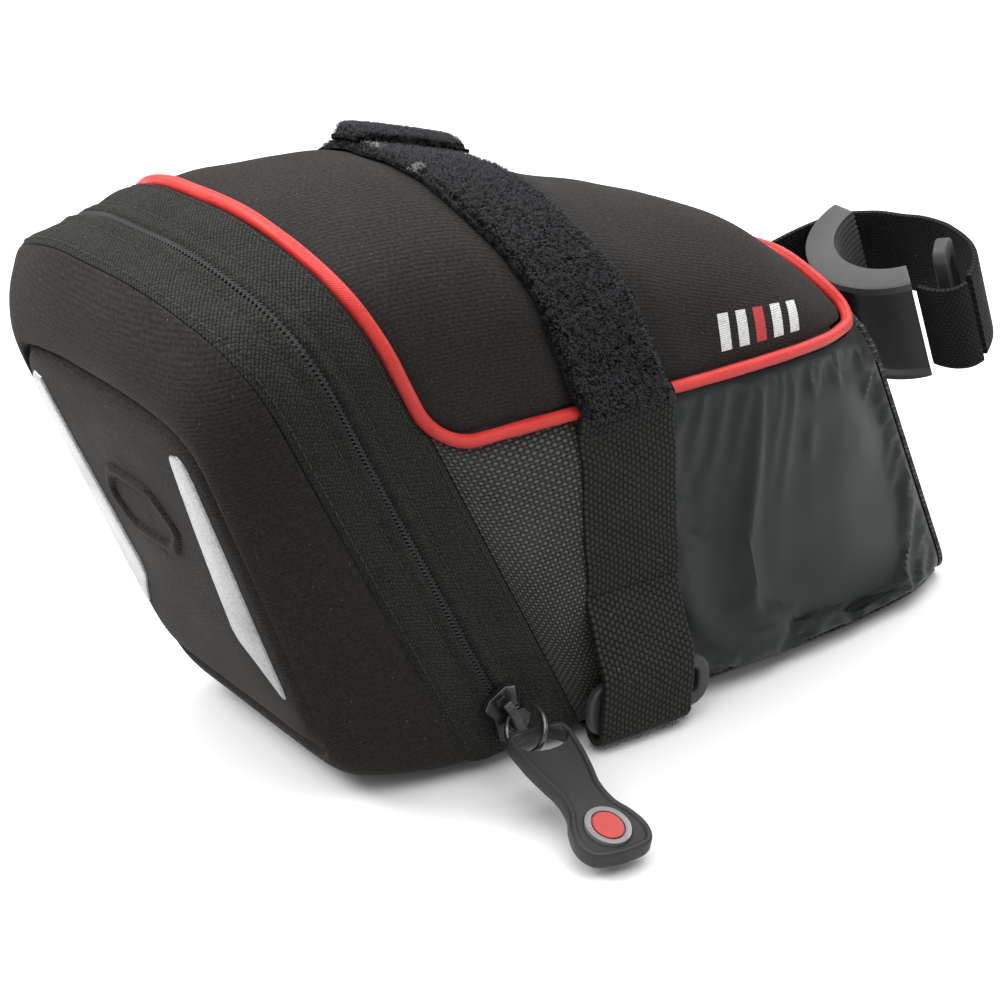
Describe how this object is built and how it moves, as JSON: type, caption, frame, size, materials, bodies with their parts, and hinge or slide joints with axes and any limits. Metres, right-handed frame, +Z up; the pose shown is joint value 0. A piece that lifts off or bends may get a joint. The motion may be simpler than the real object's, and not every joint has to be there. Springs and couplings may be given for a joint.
{
  "type": "saddle bag",
  "caption": "Wedge-shaped under-saddle bicycle bag with a zipped moulded rear lid, piping, a rail strap with a slide buckle and a seatpost pad with a loop.",
  "frame": {"origin": "on the flat base, at the middle of the bag's width", "axes": "+Z up, +Y forward towards the seatpost, +X to the right-hand side, on which the zip's slider and the strap's buckle sit"},
  "size_m": [0.1403, 0.2466, 0.1296],
  "materials": {
    "knit_shell": "fine black knit over foam",
    "twill_tape": "black twill",
    "ballistic": "coarse black basket weave",
    "slate_nylon": "slate green coated nylon",
    "coral_piping": "satin coral piping",
    "loop_pile": "black loop pile",
    "webbing": "black woven webbing",
    "mesh": "black stretch mesh",
    "lining": "grey taffeta",
    "board": "black sheet",
    "zip_coil": "black nylon coil",
    "black_metal": "black enamel",
    "pull_rubber": "matte moulded rubber",
    "pad_rubber": "grooved moulded rubber",
    "buckle_plastic": "grained moulded plastic",
    "reflective_film": "silver reflective film",
    "badge_grey": "satin grey",
    "badge_red": "satin red"
  },
  "bodies": {
    "bag": {"base_board": "board", "body_lining": "lining", "bottom_panel": "ballistic", "front_anchor_patch": "webbing", "front_panel": "ballistic", "hinge_fabric": "twill_tape", "piping": "coral_piping", "seatpost_buckle": "buckle_plastic", "seatpost_pad": "pad_rubber", "seatpost_strap_back": "webbing", "seatpost_strap_left": "webbing", "seatpost_strap_right": "webbing", "side_panel_front_left": "slate_nylon", "side_panel_front_right": "slate_nylon", "side_panel_rear_left": "ballistic", "side_panel_rear_right": "ballistic", "strap_bottom_webbing": "webbing", "strap_buckle": "buckle_plastic", "strap_hook_band": "webbing", "strap_pile_band": "loop_pile", "strap_side_webbing": "webbing", "top_panel": "knit_shell", "zip_coil_body": "zip_coil", "zip_stop_left": "zip_coil", "zip_stop_right": "zip_coil", "zip_tape_body": "twill_tape"},
    "lid": {"rear_shell": "knit_shell", "lid_lining": "lining", "zip_tape_lid": "twill_tape", "zip_coil_lid": "zip_coil", "reflector_left": "reflective_film", "reflector_right": "reflective_film", "mesh_pocket": "mesh", "mesh_pocket_elastic": "mesh"},
    "slider": {"zip_slider": "black_metal"},
    "ring": {"pull_ring": "black_metal"},
    "tab": {"pull_tab": "pull_rubber", "pull_badge_frame": "badge_grey", "pull_badge_insert": "badge_red"},
    "flap": {"strap_flap": "loop_pile"}
  },
  "joints": [
    {"name": "lid_hinge", "type": "hinge", "parent": "bag", "child": "lid", "pos_m": [0, -0.0517, 0], "axis": [1, 0, 0], "range_deg": [0, 60]},
    {"name": "slider_travel", "type": "slide", "parent": "bag", "child": "slider", "axis": [0.0757, -0.4738, 0.8774], "range_m": [0, 0.035]},
    {"name": "pull_ring_swing", "type": "hinge", "parent": "slider", "child": "ring", "pos_m": [0.04436, -0.05941, 0.01432], "axis": [0.1323, 0.4751, 0.8699], "range_deg": [-30, 30]},
    {"name": "pull_tab_swing", "type": "hinge", "parent": "ring", "child": "tab", "pos_m": [0.05605, -0.06012, 0.01293], "axis": [0.1323, 0.4751, 0.8699], "range_deg": [-30, 25]},
    {"name": "flap_peel", "type": "hinge", "parent": "bag", "child": "flap", "pos_m": [-0.02329, -0.04716, 0.1204], "axis": [0.0949, 0.9749, -0.2014], "range_deg": [-70, 0]}
  ]
}
